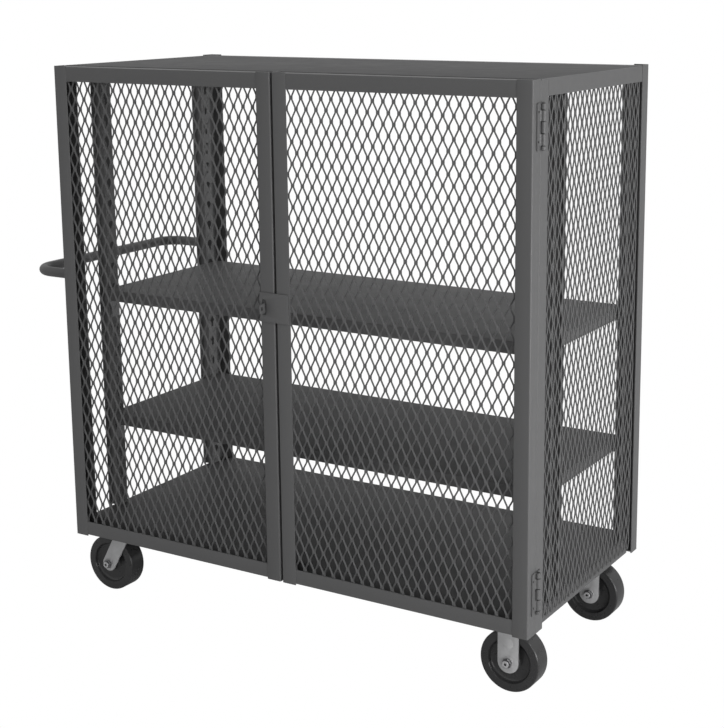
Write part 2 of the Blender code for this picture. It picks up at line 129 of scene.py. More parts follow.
def powder_coat(name, base, rough=0.5, speck=0.10, peel=0.10, spec=0.35, veil=0.93, painted_underside_shade=None):
    """Textured powder coat: a fine light and dark fleck, faint broad mottling, orange peel. The last argument
    paints shade by facing: how much darker faces that look down are made, and lighter ones that look up."""
    m, nt, b = shader(name)
    coords = nt.nodes.new("ShaderNodeTexCoord")
    co = coords.outputs["Object"]
    fine = noise(nt, co, 1500.0, 1.0, 0.6)
    flecks = mix(nt, spread(nt, fine.outputs["Fac"], 0.35, 0.65, 0.0, 1.0).outputs["Result"],
                 tint(base, 1 - speck), tint(base, 1 + speck))
    broad = noise(nt, co, 7.0, 3.0, 0.5)
    cover = spread(nt, broad.outputs["Fac"], 0.3, 0.7, 0.0, 0.35)
    col = mix(nt, cover.outputs["Result"], flecks, tint(base, veil))
    # painted shade: faces that look down are darkened and faces that look up lightened
    if painted_underside_shade:
        sep = nt.nodes.new("ShaderNodeSeparateXYZ")
        nt.links.new(coords.outputs["Normal"], sep.inputs[0])
        up = spread(nt, sep.outputs["Z"], -0.3, 0.3, 0.0, 1.0).outputs["Result"]
        col = mix(nt, 1.0, col, mix(nt, up, (painted_underside_shade[0],) * 3, (painted_underside_shade[1],) * 3), "MULTIPLY")
    nt.links.new(col, b.inputs["Base Color"])
    grime = noise(nt, co, 22.0, 4.0, 0.6)
    nt.links.new(spread(nt, grime.outputs["Fac"], 0.3, 0.7, rough - 0.05, rough + 0.06).outputs["Result"],
                 b.inputs["Roughness"])
    bumps = noise(nt, co, 620.0, 2.0, 0.5)
    bump = nt.nodes.new("ShaderNodeBump")
    bump.inputs["Strength"].default_value = peel
    bump.inputs["Distance"].default_value = 0.0004
    nt.links.new(bumps.outputs["Fac"], bump.inputs["Height"])
    nt.links.new(bump.outputs["Normal"], b.inputs["Normal"])
    b.inputs["Specular IOR Level"].default_value = spec
    return m


def zinc(name, base, rough=0.42, metal=0.75):
    """Zinc-plated steel: cloudy spangle, faint draw lines, slightly uneven sheen."""
    m, nt, b = shader(name)
    co = nt.nodes.new("ShaderNodeTexCoord").outputs["Object"]
    cloud = noise(nt, co, 55.0, 4.0, 0.6)
    fine = noise(nt, co, 900.0, 2.0, 0.6)
    c = mix(nt, spread(nt, cloud.outputs["Fac"], 0.3, 0.7, 0.0, 1.0).outputs["Result"],
            tint(base, 0.88), tint(base, 1.08))
    c = mix(nt, spread(nt, fine.outputs["Fac"], 0.3, 0.7, 0.0, 0.25).outputs["Result"], c, tint(base, 0.8))
    nt.links.new(c, b.inputs["Base Color"])
    nt.links.new(spread(nt, cloud.outputs["Fac"], 0.3, 0.7, rough - 0.07, rough + 0.08).outputs["Result"],
                 b.inputs["Roughness"])
    bump = nt.nodes.new("ShaderNodeBump")
    bump.inputs["Strength"].default_value = 0.08
    bump.inputs["Distance"].default_value = 0.0003
    nt.links.new(fine.outputs["Fac"], bump.inputs["Height"])
    nt.links.new(bump.outputs["Normal"], b.inputs["Normal"])
    b.inputs["Metallic"].default_value = metal
    return m


def moulded(name, base, rough=0.5):
    """Moulded wheel compound: near black with a fine mineral fleck and rubbed patches."""
    m, nt, b = shader(name)
    co = nt.nodes.new("ShaderNodeTexCoord").outputs["Object"]
    fleck = noise(nt, co, 1300.0, 2.0, 0.7)
    c = mix(nt, spread(nt, fleck.outputs["Fac"], 0.4, 0.75, 0.0, 1.0).outputs["Result"],
            tint(base, 0.85), tint(base, 1.5))
    rub = noise(nt, co, 38.0, 3.0, 0.6)
    c = mix(nt, spread(nt, rub.outputs["Fac"], 0.35, 0.75, 0.0, 0.3).outputs["Result"], c, tint(base, 1.2))
    nt.links.new(c, b.inputs["Base Color"])
    nt.links.new(spread(nt, rub.outputs["Fac"], 0.3, 0.7, rough - 0.02, rough + 0.03).outputs["Result"],
                 b.inputs["Roughness"])
    bump = nt.nodes.new("ShaderNodeBump")
    bump.inputs["Strength"].default_value = 0.12
    bump.inputs["Distance"].default_value = 0.0003
    nt.links.new(fleck.outputs["Fac"], bump.inputs["Height"])
    nt.links.new(bump.outputs["Normal"], b.inputs["Normal"])
    b.inputs["Specular IOR Level"].default_value = 0.5
    return m


GREY = (0.099, 0.099, 0.100)
COAT = powder_coat("powder_coat_grey", GREY, rough=0.42, spec=0.4)
# the expanded metal's downward faces are darkened as painted shade
COAT_MESH = powder_coat("powder_coat_mesh", GREY, rough=0.5, peel=0.05, spec=0.2, painted_underside_shade=(0.78, 0.97))
# a lighter copy of the grey coat: painted light on the slotted standards
COAT_STD_LIT = powder_coat("powder_coat_standard_lit", tint(GREY, 1.14), rough=0.42, spec=0.4)
# a darker copy of the grey coat: painted shade inside channels, behind the expanded metal and behind the hasp
COAT_SHADE = powder_coat("powder_coat_painted_shade", tint(GREY, 0.8), rough=0.6, spec=0.1)
# a darker copy of the grey coat: painted shade on the right end's expanded metal
COAT_END_SHADE = powder_coat("powder_coat_end_mesh_shade", tint(GREY, 0.9), rough=0.45, peel=0.05, spec=0.25)
COAT_SHEET = powder_coat("powder_coat_sheet", tint(GREY, 1.02), rough=0.6, spec=0.15, speck=0.06, veil=0.98)
# a lighter copy of the grey coat: painted light on the upper shelf
COAT_SHELF_LIT = powder_coat("powder_coat_upper_shelf_lit", tint(GREY, 1.32), rough=0.55, spec=0.2, speck=0.06, veil=0.98)
ZINC = zinc("zinc_plate", (0.46, 0.46, 0.465), metal=0.3, rough=0.5)
# a lighter copy of the zinc: painted light on the forks' pressed bosses
ZINC_BOSS_LIT = zinc("zinc_plate_boss_lit", (0.485, 0.485, 0.49), metal=0.3, rough=0.5)
ZINC_EDGE = zinc("zinc_plate_sheared", (0.22, 0.22, 0.225), metal=0.4, rough=0.55)
# near-black zinc: painted shade in the gaps between hinge knuckles
ZINC_PIN_SHADE = zinc("hinge_pin_painted_shade", (0.06, 0.06, 0.06), rough=0.45)
# a darker copy of the zinc: painted shade on the axle nuts and stub sides
ZINC_NUT_SHADE = zinc("zinc_plate_nut_shade", (0.19, 0.19, 0.195), metal=0.85, rough=0.42)
ZINC_BRIGHT = zinc("zinc_plate_turned", (0.44, 0.44, 0.445), metal=0.3, rough=0.55)
ZINC_DARK = zinc("zinc_plate_hardware", (0.24, 0.24, 0.245), rough=0.36)
WHEEL = moulded("wheel_compound", (0.026, 0.026, 0.0265), rough=0.28)
DARK = moulded("grease_and_shadow", (0.004, 0.004, 0.004), rough=0.7)
BRONZE = zinc("bearing_bronze", (0.30, 0.21, 0.10), rough=0.4)


# ---- shape helpers -------------------------------------------------------------------------
def finish_mesh(name, bm, mat, body, replaces=(), smooth=35.0, ready=False):
    """Turns a bmesh in body millimetres into a piece that rides on a body."""
    if not ready:
        bmesh.ops.recalc_face_normals(bm, faces=bm.faces[:])
    for v in bm.verts:
        v.co = P(*v.co)
    me = bpy.data.meshes.new(name)
    bm.to_mesh(me)
    bm.free()
    mats = mat if isinstance(mat, (list, tuple)) else [mat]
    for m in mats:
        me.materials.append(m)
    if smooth:
        me.shade_smooth()
        me.set_sharp_from_angle(angle=math.radians(smooth))
    o = bpy.data.objects.new(name, me)
    bpy.context.scene.collection.objects.link(o)
    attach(o, body)
    if replaces:
        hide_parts(*replaces)
    return o


def extrude(bm, loop, vec, mat=0):
    """A closed prism from a loop of 3-D points."""
    vec = Vector(vec)
    a = [bm.verts.new(Vector(p)) for p in loop]
    b = [bm.verts.new(Vector(p) + vec) for p in loop]
    n = len(loop)
    fs = [bm.faces.new(a), bm.faces.new(list(reversed(b)))]
    for i in range(n):
        j = (i + 1) % n
        fs.append(bm.faces.new((a[j], a[i], b[i], b[j])))
    for f in fs:
        f.material_index = mat
    return fs


def arc(cx, cy, r, a0, a1, n):
    return [(cx + r * math.cos(math.radians(a0 + (a1 - a0) * i / n)),
             cy + r * math.sin(math.radians(a0 + (a1 - a0) * i / n))) for i in range(n + 1)]


def ell(a, b, t=T, ro=3.4, ri=3.0, rt=0.7):
    """An angle section with its outer corner at the origin and its legs along +u and +v."""
    return (arc(ro, ro, ro, 180, 270, 7) + arc(a - rt, rt, rt, 270, 360, 2)
            + arc(a - rt, t - rt, rt, 0, 90, 2) + arc(t + ri, t + ri, ri, 270, 180, 4)
            + arc(t - rt, b - rt, rt, 0, 90, 2) + arc(rt, b - rt, rt, 90, 180, 2))


def angle(bm, at, u, v, a, b, vec, **kw):
    at, u, v = Vector(at), Vector(u), Vector(v)
    extrude(bm, [at + u * p + v * q for p, q in ell(a, b, **kw)], vec)


def bar(bm, xs, ys, zs, r=0.6, seg=2, mat=0):
    """A box with softened edges."""
    made = bmesh.ops.create_cube(bm, size=1.0)
    vs = made["verts"]
    for v in vs:
        v.co = Vector((xs[0] if v.co.x < 0 else xs[1], ys[0] if v.co.y < 0 else ys[1],
                       zs[0] if v.co.z < 0 else zs[1]))
    es = list({e for v in vs for e in v.link_edges})
    fs = list({f for v in vs for f in v.link_faces})
    for f in fs:
        f.material_index = mat
    if r:
        bmesh.ops.bevel(bm, geom=es, offset=r, segments=seg, profile=0.5, affect="EDGES")


def rounded(pts, radii, n=5):
    """A closed outline through pts with each corner rounded to its own radius."""
    out = []
    for i, (p, r) in enumerate(zip(pts, radii)):
        p = Vector(p)
        a = Vector(pts[i - 1]) - p
        b = Vector(pts[(i + 1) % len(pts)]) - p
        if r <= 0:
            out.append(tuple(p))
            continue
        a.normalize()
        b.normalize()
        half = math.acos(max(-1, min(1, a.dot(b)))) / 2
        d = r / math.tan(half)
        c = p + (a + b).normalized() * (r / math.sin(half))
        s, e = p + a * d, p + b * d
        for k in range(n + 1):
            f = k / n
            q = s.lerp(e, f)
            # the point on the arc in the direction of the chord point
            out.append(tuple(c + (q - c).normalized() * r))
    return out


def plate(bm, loops, place, thick, bevel=0.0, mat=0):
    """A flat plate from 2-D loops (the first is the outline, the others holes). place(u, v, t)
    gives the 3-D point, t running 0..thick."""
    cu = bpy.data.curves.new("tmp", "CURVE")
    cu.dimensions = "2D"
    cu.fill_mode = "BOTH"
    cu.extrude = thick / 2
    for loop in loops:
        s = cu.splines.new("POLY")
        s.points.add(len(loop) - 1)
        for p, (a, b) in zip(s.points, loop):
            p.co = (a, b, 0.0, 1.0)
        s.use_cyclic_u = True
    if bevel:
        cu.extrude = thick / 2 - bevel
        cu.bevel_depth = bevel
        cu.bevel_resolution = 1
        cu.offset = -bevel
    o = bpy.data.objects.new("tmp", cu)
    bpy.context.scene.collection.objects.link(o)
    bpy.context.view_layer.update()
    dg = bpy.context.evaluated_depsgraph_get()
    me = bpy.data.meshes.new_from_object(o.evaluated_get(dg), depsgraph=dg)
    bpy.data.objects.remove(o, do_unlink=True)
    bpy.data.curves.remove(cu)
    part = bmesh.new()
    part.from_mesh(me)
    bpy.data.meshes.remove(me)
    bmesh.ops.remove_doubles(part, verts=part.verts, dist=0.01)
    vs = {}
    for v in part.verts:
        vs[v] = bm.verts.new(Vector(place(v.co.x, v.co.y, v.co.z + thick / 2)))
    for f in part.faces:
        nf = bm.faces.new([vs[v] for v in f.verts])
        nf.material_index = mat
    part.free()


def lathe(bm, profile, centre, axis="Y", seg=64, mat=0, start=0.0):
    """A closed turned solid: profile is [(radius, position along the axis)], closed on itself,
    or closed on the axis where a radius is 0."""
    c = Vector(centre)
    rings = []
    for r, a in profile:
        if r < 1e-6:
            off = {"X": Vector((a, 0, 0)), "Y": Vector((0, a, 0)), "Z": Vector((0, 0, a))}[axis]
            rings.append([bm.verts.new(c + off)])
            continue
        ring = []
        for i in range(seg):
            t = start + math.tau * i / seg
            ca, sa = r * math.cos(t), r * math.sin(t)
            off = {"X": Vector((a, ca, sa)), "Y": Vector((sa, a, ca)), "Z": Vector((ca, sa, a))}[axis]
            ring.append(bm.verts.new(c + off))
        rings.append(ring)
    n = len(rings)
    open_ended = len(rings[0]) == 1 and len(rings[-1]) == 1
    for k in range(n - 1 if open_ended else n):
        a, b = rings[k], rings[(k + 1) % n]
        for i in range(seg):
            j = (i + 1) % seg
            if len(a) == 1 and len(b) == 1:
                continue
            if len(a) == 1:
                f = bm.faces.new((a[0], b[i], b[j]))
            elif len(b) == 1:
                f = bm.faces.new((a[i], b[0], a[j]))
            else:
                f = bm.faces.new((a[i], b[i], b[j], a[j]))
            f.material_index = mat


def disc(bm, centre, axis, r, a0, a1, seg=32, c=0.5, mat=0):
    """A short turned bar with chamfered ends."""
    lathe(bm, [(0, a0), (r - c, a0), (r, a0 + c), (r, a1 - c), (r - c, a1), (0, a1)], centre, axis, seg, mat)


def hexagon(bm, centre, r, y0, y1, mat=0, axis="Y", turn=0.0):
    """A hexagon nut or head with chamfered corners."""
    c = Vector(centre)

    def at(rad, i, a):
        t = math.radians(60 * i) + turn
        p, q = rad * math.cos(t), rad * math.sin(t)
        return c + {"Y": Vector((p, a, q)), "Z": Vector((p, q, a)), "X": Vector((a, p, q))}[axis]

    k = 0.93
    rings = [[bm.verts.new(at(r * k, i, y0)) for i in range(6)],
             [bm.verts.new(at(r, i, y0 + 0.9)) for i in range(6)],
             [bm.verts.new(at(r, i, y1 - 0.9)) for i in range(6)],
             [bm.verts.new(at(r * k, i, y1)) for i in range(6)]]
    fs = [bm.faces.new(rings[0]), bm.faces.new(list(reversed(rings[-1])))]
    for a, b in zip(rings, rings[1:]):
        for i in range(6):
            j = (i + 1) % 6
            fs.append(bm.faces.new((a[i], b[i], b[j], a[j])))
    for f in fs:
        f.material_index = mat


def sweep(bm, pts, r, seg=32, mat=0):
    """A round tube along a path, with closed ends."""
    pts = [Vector(p) for p in pts]
    rings = []
    up = Vector((0, 0, 1))
    for i, p in enumerate(pts):
        t = (pts[min(i + 1, len(pts) - 1)] - pts[max(i - 1, 0)]).normalized()
        side = t.cross(up).normalized()
        nrm = side.cross(t).normalized()
        rings.append([bm.verts.new(p + side * (r * math.cos(math.tau * k / seg))
                                   + nrm * (r * math.sin(math.tau * k / seg))) for k in range(seg)])
    fs = [bm.faces.new(rings[0]), bm.faces.new(list(reversed(rings[-1])))]
    for a, b in zip(rings, rings[1:]):
        for i in range(seg):
            j = (i + 1) % seg
            fs.append(bm.faces.new((a[i], b[i], b[j], a[j])))
    for f in fs:
        f.material_index = mat


def pan(bm, xs, ys, zs, t, r=2.2, lip=0.0):
    """A folded tray, open underneath, with rounded folds. lip is not used."""
    x0, x1 = xs
    y0, y1 = ys
    z0, z1 = zs
    n = 4

    def loop(inset, z, rad):
        pts = [(x0 + inset, y0 + inset), (x1 - inset, y0 + inset), (x1 - inset, y1 - inset),
               (x0 + inset, y1 - inset)]
        return [bm.verts.new((p[0], p[1], z)) for p in rounded(pts, [max(rad, 0.4)] * 4, n)]

    outer = []
    for k in range(5):
        a = math.radians(90 * k / 4)
        outer.append(loop(r - r * math.sin(a), z1 - r + r * math.cos(a), 3.0 - (r - r * math.sin(a))))
    outer.append(loop(0.0, z0 + 0.4, 3.0))
    outer.append(loop(0.4, z0, 2.6))
    outer.append(loop(t - 0.4, z0, 0.9 + 0.4))
    outer.append(loop(t, z0 + 0.4, 0.9))
    outer.append(loop(t, z1 - t, 0.9))
    for a, b in zip(outer, outer[1:]):
        m = len(a)
        for i in range(m):
            j = (i + 1) % m
            bm.faces.new((a[i], b[i], b[j], a[j]))
    bm.faces.new(outer[0])
    bm.faces.new(list(reversed(outer[-1])))


# ---- angle-iron frames ----------------------------------------------------------------------
def door_frame(side, x0, x1):
    bm = bmesh.new()
    leg, dep, step, rail = 39.5, 38.0, 3.0, 36.0
    angle(bm, (x0, 0, 0), (1, 0, 0), (0, 1, 0), leg, dep, (0, 0, H))
    angle(bm, (x1, 0, 0), (-1, 0, 0), (0, 1, 0), leg, dep, (0, 0, H))
    a, b = x0 + leg, x1 - leg
    up = 1.6                              # the top rail is set down less than the bottom one is up
    angle(bm, (a, 1, H - up), (0, 0, -1), (0, 1, 0), rail + step - up, dep - 1, (b - a, 0, 0), ro=2.0)
    angle(bm, (a, 1, step), (0, 0, 1), (0, 1, 0), rail + 1, dep - 1, (b - a, 0, 0), ro=2.0)
    for z0 in (step, H - up - T):
        for xa, xb in ((x0 + T, a), (b, x1 - T)):
            bar(bm, (xa, xb), (T, dep), (z0, z0 + T), 0.3, 1)
    finish_mesh(f"{side}_door_angle_frame", bm, COAT, f"{side}_door", [f"{side}_door_frame"])


door_frame("left", 0.0, 677.0)
door_frame("right", 683.0, W)


def side_frame(side):
    bm = bmesh.new()
    x, s = (W, -1) if side == "right" else (0.0, 1)
    leg, top, end = 38.0, H - T - GAP, BACK - 3.0
    angle(bm, (x, SEAM, 0), (s, 0, 0), (0, 1, 0), leg, leg, (0, 0, top), ro=1.5)
    # the rail's outer leg laps the roof sheet's edge
    loop = ([(0.0, H - leg), (T, H - leg), (T, top - T), (leg, top - T), (leg, top), (T, top), (T, H - 0.25)]
            + [(p, H - 0.25 - q) for p, q in arc(1.6, 1.6, 1.6, 270, 180, 3)])
    loop = [(x + s * p, SEAM + leg, q) for p, q in loop]
    extrude(bm, loop, (0, end - SEAM - leg, 0))
    # and its flat leg runs on inside the post
    bar(bm, sorted((x + s * T, x + s * leg)), (SEAM + T, SEAM + leg), (top - T, top), 0.3, 1)
    bar(bm, sorted((x + s * 0.15, x + s * 2.9)), (SEAM + 2.5, SEAM + leg), (top - 0.3, H - 0.3), 0.3, 1)
    # painted shade: the two strips are dark along the post and the back stile
    if side == "right":                   # the expanded metal is welded to two dark strips
        for ys in ((SEAM + leg + 0.2, SEAM + leg + 15.5), (BACK - 11.0, BACK - 3.2)):
            bar(bm, (W - 7.4, W - 5.9), ys, (DECK_TOP + 1.5, top - leg), 0.2, 1, 1)
    finish_mesh(f"{side}_side_angle_frame", bm, [COAT, COAT_SHADE], "cabinet", [f"{side}_side_frame"])


side_frame("left")
side_frame("right")

bm = bmesh.new()
dep = D - BACK - GAP
angle(bm, (0, D, 0), (1, 0, 0), (0, -1, 0), 38.0, dep, (0, 0, H + 2.5))
angle(bm, (W, D, 0), (-1, 0, 0), (0, -1, 0), 38.0, dep, (0, 0, H + 2.5))
angle(bm, (38.0, D, H), (0, 0, -1), (0, -1, 0), 36.0, dep, (W - 76.0, 0, 0))
angle(bm, (38.0, D, 3.0), (0, 0, 1), (0, -1, 0), 36.0, dep, (W - 76.0, 0, 0))
for xa, xb in ((T, 38.0), (W - 38.0, W - T)):
    for z in (3.0, H - T):
        bar(bm, (xa, xb), (BACK + GAP, D - T), (z, z + T), 0.3, 1)
finish_mesh("back_angle_frame", bm, COAT, "cabinet", ["back_frame"])

bm = bmesh.new()
bar(bm, (T + 0.1, W - T - 0.1), (SEAM, BACK), (H - T, H), 1.2, 3)
finish_mesh("roof_plate", bm, COAT_SHEET, "cabinet", ["roof_sheet"])


# ---- expanded metal ----------------------------------------------------------------------------
LONG = 51.44                  # length of a diamond, centre to centre


def expanded(name, node, body, place, hs, zs, h0, z0, short, strand, thick, lean, mat, flat=2.6):
    """Raised expanded metal. Each strip of strand runs the long way of the diamonds and is
    swung from one bond to the next; place(h, n, z) gives the 3-D point for a distance h along
    the panel and n out of it."""
    bm = bmesh.new()
    lean = math.radians(lean)
    c, s = math.cos(lean), math.sin(lean)
    half = short / 2
    ease = flat + 2.2                     # flat is half the length of a bond

    def swing(z, zb):
        t = ((z - zb) / LONG) % 1.0
        d = min(t, 1 - t) * LONG          # distance from this strip's left-hand bond
        run = LONG / 2 - 2 * flat
        f = min(max((d - flat) / run, 0.0), 1.0)
        if d < ease:                      # a soft bend out of the bond
            return 0.0 if d <= flat else 0.6 * f
        if LONG / 2 - d < ease:
            return 1.0 if f >= 1.0 else 1.0 - 0.6 * (1.0 - f)
        return f

    j0 = math.ceil((hs[0] - h0) / half)
    j1 = math.floor((hs[1] - h0) / half)
    for j in range(j0 - 1, j1 + 1):
        left, right = h0 + j * half, h0 + (j + 1) * half
        if right < hs[0] + 3.0 or left > hs[1] - 3.0:
            continue
        zb = z0 + (LONG / 2 if j % 2 else 0.0)
        marks = {zs[0], zs[1]}
        k = math.floor((zs[0] - zb) / (LONG / 2)) - 1
        while zb + k * LONG / 2 < zs[1] + 10:
            m = zb + k * LONG / 2
            marks.update(v for v in (m - ease, m - flat, m + flat, m + ease) if zs[0] < v < zs[1])
            k += 1
        rings = []
        for z in sorted(marks):
            f = swing(z, zb)
            h = (left + strand / 2 * c) * (1 - f) + (right - strand / 2 * c) * f
            n = (strand / 2 * s) * (1 - 2 * f)
            w, t = strand / 2, thick / 2
            pts = [(h + a * c - b * s, n + a * s + b * c) for a, b in ((-w, -t), (w, -t), (w, t), (-w, t))]
            # at the panel's edges the strand lies along the edge
            push = max(hs[0] - min(p[0] for p in pts), 0.0) - max(max(p[0] for p in pts) - hs[1], 0.0)
            rings.append([bm.verts.new(Vector(place(p + push, q, z))) for p, q in pts])
        bm.faces.new(rings[0])
        bm.faces.new(list(reversed(rings[-1])))
        for a, b in zip(rings, rings[1:]):
            for i in range(4):
                i2 = (i + 1) % 4
                bm.faces.new((a[i], b[i], b[i2], a[i2]))
    return finish_mesh(name, bm, mat, body, [node], smooth=30.0)


MESH_Y = 6.9        # middle of the doors' expanded metal, behind the face legs
for side, x0, x1, h0 in (("left", 0.0, 677.0, 106.0), ("right", 683.0, W, 1291.0)):
    # a strip's far edge is to the right, so its face looks towards +X
    expanded(f"{side}_door_expanded_metal", f"{side}_door_mesh", f"{side}_door",
             lambda h, n, z: (h, MESH_Y + n, z), (x0 + T + 2.5, x1 - T - 2.5),
             (6.6, H - 6.6), h0, 1202.0, 27.9, 4.15, 2.0, 32.0, COAT_MESH, 4.0)
# the right end's fills the opening of its frame and comes down outside the deck's flange
expanded("right_end_expanded_metal", "right_side_mesh", "cabinet",
         lambda h, n, z: (W - 4.0 + n, h, z), (SEAM + 38.4, BACK - 8.5), (17.5, H - 38.4),
         186.4, 1199.9, 25.37, 3.5, 1.7, 15.0, COAT_END_SHADE, 3.0)

# ---- deck, channels, shelves ------------------------------------------------------------------------
bm = bmesh.new()
pan(bm, (10.6, W - 10.6), (45.0, 608.0), (17.6, DECK_TOP), 2.7)
for xs in ((10.6, 13.3), (W - 13.3, W - 10.6)):
    bar(bm, xs, (48.0, 605.0), (2.0, 19.0), 0.4, 1)
# the front flange is deeper between the casters, behind the doors' bottom rails
bar(bm, (152.0, W - 142.0), (45.0, 47.7), (3.0, 19.0), 0.4, 1)
# its back lip closes the gap to the back rail
bar(bm, (38.8, W - 38.8), (598.0, 646.6), (38.6, DECK_TOP - 0.02), 0.5, 1)
finish_mesh("deck_tray", bm, COAT_SHEET, "cabinet", ["deck_pan"])

for side, x in (("left", 90.0), ("right", 1280.0)):
    bm = bmesh.new()
    xa, xb = x - 57.15, x + 57.15
    z0, z1 = 17.3, 38.0
    loop = [(xa, z1), (xa, z0), (xb, z0), (xb, z1), (xb - T, z1), (xb - T, z0 + T), (xa + T, z0 + T),
            (xa + T, z1)]
    loop = rounded(loop, [0.4, 3.0, 3.0, 0.4, 0.4, 1.2, 1.2, 0.4], 4)
    extrude(bm, [(p, 48.5, q) for p, q in loop], (0, 556.0, 0))
    finish_mesh(f"{side}_caster_bolster", bm, COAT, "cabinet", [f"{side}_caster_channel"])

for name, z in (("upper", 659.9), ("lower", 317.0)):
    bm = bmesh.new()
    pan(bm, (34.4, W - 34.4), (114.0, 606.0), (z - 30.0, z), 2.0, r=2.4)
    # the upper shelf takes the lighter coat, painted light
    finish_mesh(f"{name}_shelf_tray", bm, COAT_SHELF_LIT if name == "upper" else COAT_SHEET, f"shelf_{name}", [f"{name}_shelf"])

# ---- slotted standards ----------------------------------------------------------------------------------
KEY_TOP, PITCH, KEYS = 1183.0, 57.15, 20
STD_Z = (42.5, 1250.0)


def keyhole(y, top):
    r, s = 10.2, 4.2
    a = math.degrees(math.asin(s / r))
    head = arc(y, top - r, r, -90 + a, 270 - a, 18)
    foot = arc(y, top - 33.0 + s, s, 180, 360, 6)
    return head + foot


for side in ("left", "right"):
    for where, y in (("front", 157.5), ("rear", 578.5)):
        bm = bmesh.new()
        x0 = 7.5 if side == "right" else 4.8
        dep, t, web, wing = 30.0 - x0, 1.6, 19.0, 11.5

        def X(q, side=side):
            return (W - q) if side == "right" else q

        holes = [keyhole(y, KEY_TOP - PITCH * k) for k in range(KEYS)]
        e = 3.0
        out = [(y - web + e, STD_Z[0]), (y + web - e, STD_Z[0]), (y + web - e, STD_Z[1]),
               (y - web + e, STD_Z[1])]
        plate(bm, [out] + holes, lambda u, v, q: (X(x0 + dep - t + q), u, v), t)
        for s in (-1, 1):
            loop = [(x0, s * (web + wing)), (x0, s * (web - t)), (x0 + dep - t, s * (web - t)),
                    (x0 + dep - t, s * (web - e)), (x0 + dep, s * (web - e)), (x0 + dep, s * web),
                    (x0 + t, s * web), (x0 + t, s * (web + wing))]
            loop = rounded(loop, [0.3, 1.9, 0.4, 0.0, 0.0, 1.9, 0.4, 0.3], 4)
            extrude(bm, [(X(p), y + q, STD_Z[0]) for p, q in loop], (0, 0, STD_Z[1] - STD_Z[0]))
            # a dark liner on each inner wall of the channel: painted shade
            bar(bm, sorted((X(x0 + 0.6), X(x0 + dep - t - 0.4))), sorted((y + s * (web - t - 0.3), y + s * (web - t + 0.3))),
                (STD_Z[0] + 1, STD_Z[1] - 1), 0, 1, 1)
        finish_mesh(f"{where}_{side}_slotted_standard", bm, [COAT_STD_LIT, COAT_SHADE], "cabinet",
                    [f"{where}_{side}_standard"])

# ---- hinges ------------------------------------------------------------------------------------------------
KNUCKLES = (10.0, 26.3, 25.9, 25.0, 14.4)
AXIS_Y = 38.15
for side in ("left", "right"):
    face, out = (W, 1) if side == "right" else (0.0, -1)

    def ox(a, face=face, out=out):
        return face + out * a

    for place, zc in (("bottom", 101.0), ("top", H - 101.0)):
        z0 = zc - 50.8
        edges = [z0 + sum(KNUCKLES[:i]) for i in range(6)]
        for body, first, ya, yb in ((f"{side}_door", 1, 16.6, AXIS_Y - 4.0),
                                    ("cabinet", 0, AXIS_Y + 4.0, 60.5)):
            bm = bmesh.new()
            hy = 23.4 if first else 53.6
            pts = [(ya, z0), (yb, z0), (yb, z0 + 101.6), (ya, z0 + 101.6)]
            rad = [3.0, 0.2, 0.2, 3.0] if first else [0.2, 3.0, 3.0, 0.2]
            holes = [arc(hy, zc + dz, 2.9, 0, 345, 23) for dz in (-32.0, 32.0)]
            plate(bm, [rounded(pts, rad, 4)] + holes,
                  lambda u, v, q: (ox(0.35 + q), u, v), 2.4)
            for i in range(5):
                if i % 2 != first:
                    continue
                lo, hi = edges[i] + 1.0, edges[i + 1] - 1.0
                lathe(bm, [(3.35, lo), (5.6, lo), (6.0, lo + 0.4), (6.0, hi - 0.4), (5.6, hi), (3.35, hi)],
                      (ox(6.5), AXIS_Y, 0), "Z", 32)
                y_in = (AXIS_Y - 5.0, AXIS_Y - 1.5) if first else (AXIS_Y + 1.5, AXIS_Y + 5.0)
                bar(bm, sorted((ox(0.35), ox(2.75))), y_in, (lo, hi), 0.2, 1)
                k = -1 if first else 1        # the leaf curls up into its knuckle
                curl = [(ox(1.0), AXIS_Y + k * 2.0), (ox(1.0), AXIS_Y + k * 9.5), (ox(2.74), AXIS_Y + k * 9.5),
                        (ox(3.4), AXIS_Y + k * 7.4), (ox(5.0), AXIS_Y + k * 6.1), (ox(7.0), AXIS_Y + k * 5.7)]
                extrude(bm, [(p, q, lo) for p, q in curl], (0, 0, hi - lo))
            piece = finish_mesh(f"{side}_{place}_hinge_{'door' if first else 'post'}_plate", bm, COAT, body,
                                [f"{side}_{place}_hinge_{'door' if first else 'post'}_leaf"])
            # countersunk screws deep in the leaf's holes, near black as painted shade in the holes
            bm = bmesh.new()
            for dz in (-32.0, 32.0):
                disc(bm, (ox(0.0), hy, zc + dz), "X", 2.6, *sorted((out * 0.4, out * 1.3)), seg=20, c=0.3)
            s = finish_mesh(f"{side}_{place}_hinge_{'door' if first else 'post'}_screws", bm, DARK, body)
        # the hinge pin is near black, painted shade between the knuckles
        bm = bmesh.new()
        lathe(bm, [(0, z0 - 0.0), (3.0, z0 + 0.0), (3.0, z0 + 101.6), (0, z0 + 101.6)],
              (ox(6.5), AXIS_Y, 0), "Z", 20)
        s = finish_mesh(f"{side}_{place}_hinge_pin", bm, ZINC_PIN_SHADE, "cabinet")

